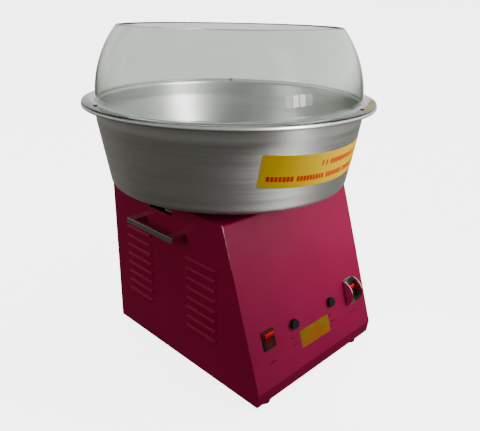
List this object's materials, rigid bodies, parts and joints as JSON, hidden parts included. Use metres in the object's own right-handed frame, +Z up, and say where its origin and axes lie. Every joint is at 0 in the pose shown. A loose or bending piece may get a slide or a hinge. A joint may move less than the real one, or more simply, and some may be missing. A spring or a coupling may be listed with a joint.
{
  "type": "cotton candy machine",
  "caption": "Cotton candy machine: sloped pink sheet-metal cabinet, spinning heated head, wide spun aluminium bowl and a clear open-topped dome, with rocker switches and fuse caps.",
  "frame": {"origin": "on the floor plane under the axis of the bowl and the spinning head", "axes": "+X to the right when the machine is seen from its front, +Y to the rear, so the sloped front faces -Y, +Z up along the head's axis"},
  "size_m": [0.52, 0.52, 0.5909],
  "materials": {
    "pink_powder_coat": "satin",
    "zinc_steel": "satin",
    "chrome": "polished",
    "cast_aluminium": "satin",
    "spun_aluminium": "brushed",
    "laminated_iron": "matte",
    "black_rubber": "matte",
    "black_plastic": "matte",
    "brown_phenolic": "matte",
    "carbon": "matte",
    "brass": "satin",
    "white_ceramic": "matte",
    "wire_sleeve": "matte",
    "heater_alloy": "matte",
    "clear_acrylic": "clear gloss",
    "red_translucent": "translucent gloss",
    "fuse_carrier": "matte",
    "yellow_label": "printed vinyl"
  },
  "bodies": {
    "cabinet": {"front_top_panel": "pink_powder_coat", "left_side_panel": "pink_powder_coat", "right_side_panel": "pink_powder_coat", "rear_panel": "pink_powder_coat", "rear_angles": "zinc_steel", "rear_panel_screws": "zinc_steel", "base_plate": "zinc_steel", "feet": "black_rubber", "foot_screws": "zinc_steel", "left_handle": "chrome", "right_handle": "chrome", "handle_screws": "zinc_steel", "motor_bracket": "zinc_steel", "motor_mount_bushes": "black_rubber", "motor_bolts": "zinc_steel", "motor_housing": "zinc_steel", "motor_caps": "cast_aluminium", "motor_bearings": "zinc_steel", "stator_core": "laminated_iron", "brush_holder": "brown_phenolic", "carbon_brushes": "carbon", "terminal_block": "white_ceramic", "internal_wiring": "wire_sleeve", "gland_body": "black_plastic", "gland_cap": "black_plastic", "power_switch_housing": "black_plastic", "heat_switch_housing": "black_plastic", "heat_switch_guard": "chrome", "switch_terminals": "brass", "fuse_holders": "black_plastic", "fuse_nuts": "black_plastic", "bowl_seat": "zinc_steel", "seat_gasket": "black_rubber", "locating_pins": "zinc_steel", "shaft_collar": "zinc_steel", "panel_label": "yellow_label"},
    "spinner": {"motor_shaft": "zinc_steel", "rotor": "laminated_iron", "cooling_fan": "black_plastic", "slip_ring_sleeve": "brown_phenolic", "slip_rings": "brass", "head_hub": "brown_phenolic", "head_base": "cast_aluminium", "head_nut": "zinc_steel", "heater_rings": "heater_alloy", "head_posts": "white_ceramic", "head_band": "cast_aluminium", "head_cap": "cast_aluminium", "cap_screws": "zinc_steel"},
    "bowl": {"bowl": "spun_aluminium", "bowl_label": "yellow_label"},
    "dome": {"dome": "clear_acrylic", "dome_buttons": "black_rubber", "rim_label": "yellow_label"},
    "power_rocker": {"power_rocker": "red_translucent"},
    "heat_rocker": {"heat_rocker": "red_translucent"},
    "left_fuse_carrier": {"left_fuse_carrier": "fuse_carrier"},
    "right_fuse_carrier": {"right_fuse_carrier": "fuse_carrier"},
    "left_fuse_cap": {"left_fuse_cap": "black_plastic"},
    "right_fuse_cap": {"right_fuse_cap": "black_plastic"}
  },
  "joints": [
    {"name": "head_spin", "type": "hinge", "parent": "cabinet", "child": "spinner", "pos_m": [0, 0, 0.345], "axis": [0, 0, 1], "continuous": true},
    {"name": "bowl_lift", "type": "slide", "parent": "cabinet", "child": "bowl", "axis": [0, 0, 1], "range_m": [0, 0.2]},
    {"name": "dome_lift", "type": "slide", "parent": "bowl", "child": "dome", "axis": [0, 0, 1], "range_m": [0, 0.15]},
    {"name": "power_rocker_tilt", "type": "hinge", "parent": "cabinet", "child": "power_rocker", "pos_m": [-0.115, -0.21561, 0.11414], "axis": [-1, 0, 0], "range_deg": [0, 22]},
    {"name": "heat_rocker_tilt", "type": "hinge", "parent": "cabinet", "child": "heat_rocker", "pos_m": [0.115, -0.21703, 0.1146], "axis": [-1, 0, 0], "range_deg": [0, 22]},
    {"name": "left_fuse_draw", "type": "slide", "parent": "cabinet", "child": "left_fuse_carrier", "axis": [0, -0.9511, 0.3088], "range_m": [0, 0.04]},
    {"name": "right_fuse_draw", "type": "slide", "parent": "cabinet", "child": "right_fuse_carrier", "axis": [0, -0.9511, 0.3088], "range_m": [0, 0.04]},
    {"name": "left_fuse_turn", "type": "hinge", "parent": "left_fuse_carrier", "child": "left_fuse_cap", "pos_m": [-0.052, -0.21996, 0.11692], "axis": [0, -0.9511, 0.3088], "range_deg": [0, 90]},
    {"name": "right_fuse_turn", "type": "hinge", "parent": "right_fuse_carrier", "child": "right_fuse_cap", "pos_m": [0.052, -0.21996, 0.11692], "axis": [0, -0.9511, 0.3088], "range_deg": [0, 90]}
  ]
}
